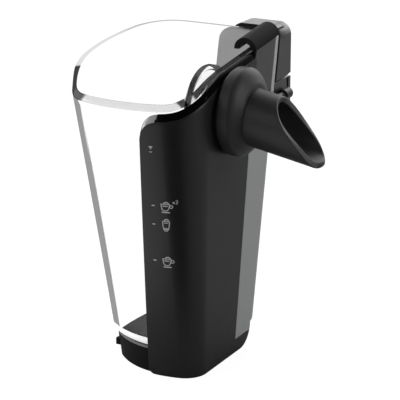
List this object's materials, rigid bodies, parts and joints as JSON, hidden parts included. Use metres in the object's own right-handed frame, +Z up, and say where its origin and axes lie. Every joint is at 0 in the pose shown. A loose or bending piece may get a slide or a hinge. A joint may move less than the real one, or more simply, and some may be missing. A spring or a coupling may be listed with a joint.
{
  "type": "milk jug with frothing spout",
  "caption": "Clear tapered milk jug that plugs into a black frame with a foot, a round frothing chamber, an oblique-cut pouring spout, a rim hook and a rocking release button",
  "frame": {"origin": "middle of the foot's underside, on the surface it stands on", "axes": "X to the right, the side of the spout; Y to the rear, where the jug docks onto the machine; Z up"},
  "size_m": [0.1216, 0.1061, 0.1505],
  "materials": {
    "clear_plastic": "clear, polished",
    "satin_black": "fine-grained satin black",
    "dark_grey": "fine-grained satin dark grey",
    "grey_plastic": "satin light grey",
    "silicone": "matt grey silicone",
    "steel": "drawn stainless steel"
  },
  "bodies": {
    "frame": {"outer_cover": "satin_black", "rim_hook": "satin_black", "rear_shell": "grey_plastic", "foot": "satin_black", "channel_seal": "silicone", "chamber_cap": "satin_black", "spout": "satin_black", "chamber_seal": "silicone", "steam_socket": "satin_black", "socket_seal": "silicone", "steam_elbow": "satin_black", "steam_pipe": "steel", "steam_nozzle": "steel", "latch_housing": "dark_grey", "pivot_pin": "steel", "return_spring": "steel"},
    "tank": {"milk_tank": "clear_plastic"},
    "button": {"release_button": "dark_grey", "button_catch": "satin_black"}
  },
  "joints": [
    {"name": "tank_slide", "type": "slide", "parent": "frame", "child": "tank", "axis": [-1, 0, 0], "range_m": [0, 0.08]},
    {"name": "button_rock", "type": "hinge", "parent": "frame", "child": "button", "pos_m": [0.009, 0.06416, 0.126], "axis": [-1, 0, 0], "range_deg": [0, 8], "stiffness_Nm_per_rad": 0.15, "deforming": ["return_spring"]}
  ]
}
